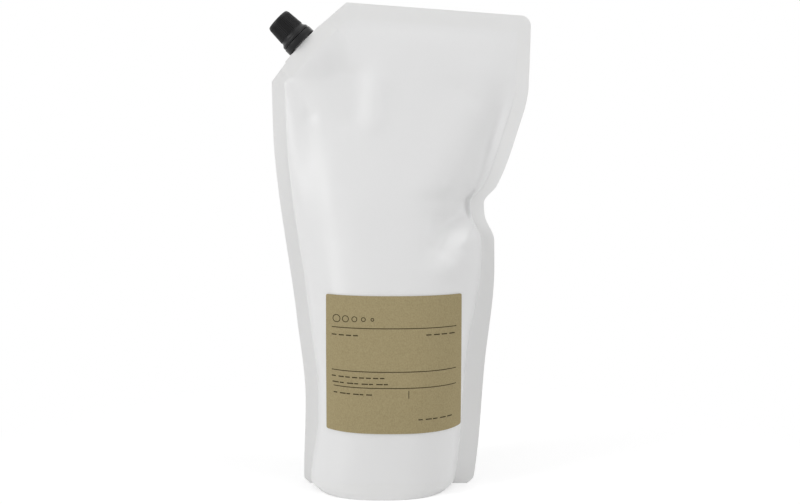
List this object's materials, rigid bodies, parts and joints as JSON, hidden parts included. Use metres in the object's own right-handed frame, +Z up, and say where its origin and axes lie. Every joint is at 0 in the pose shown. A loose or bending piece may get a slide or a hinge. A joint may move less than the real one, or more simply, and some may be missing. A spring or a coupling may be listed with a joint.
{
  "type": "spouted refill pouch",
  "caption": "Filled stand-up film pouch for dish soap, with a screw-capped spout in its cut corner and a square paper label.",
  "frame": {"origin": "middle of the flat patch under the pouch, on the surface that it stands on", "axes": "+Z up, +Y from the labelled front to the back, +X to the right seen from the front"},
  "size_m": [0.1644, 0.0772, 0.31],
  "materials": {
    "film": "frosted white film with a soft sheen",
    "spout": "natural white moulding",
    "cap": "satin black moulding with fine ribs",
    "ring": "satin black moulding",
    "label": "brown kraft paper with specks and dark ruled lines"
  },
  "bodies": {
    "pouch_body": {"pouch": "film", "spout": "spout", "label": "label"},
    "ring_body": {"tamper_ring": "ring"},
    "cap_body": {"cap": "cap"}
  },
  "joints": [
    {"name": "cap_turn", "type": "hinge", "parent": "pouch_body", "child": "ring_body", "pos_m": [-0.05427, 0, 0.28436], "axis": [-0.7201, 0, 0.6939], "range_deg": [0, 900]},
    {"name": "cap_rise", "type": "slide", "parent": "ring_body", "child": "cap_body", "axis": [-0.7201, 0, 0.6939], "range_m": [0, 0.0101]}
  ],
  "couplings": [
    {"joint": "cap_rise", "follows": "cap_turn", "m_per_rad": 0.00063662}
  ]
}
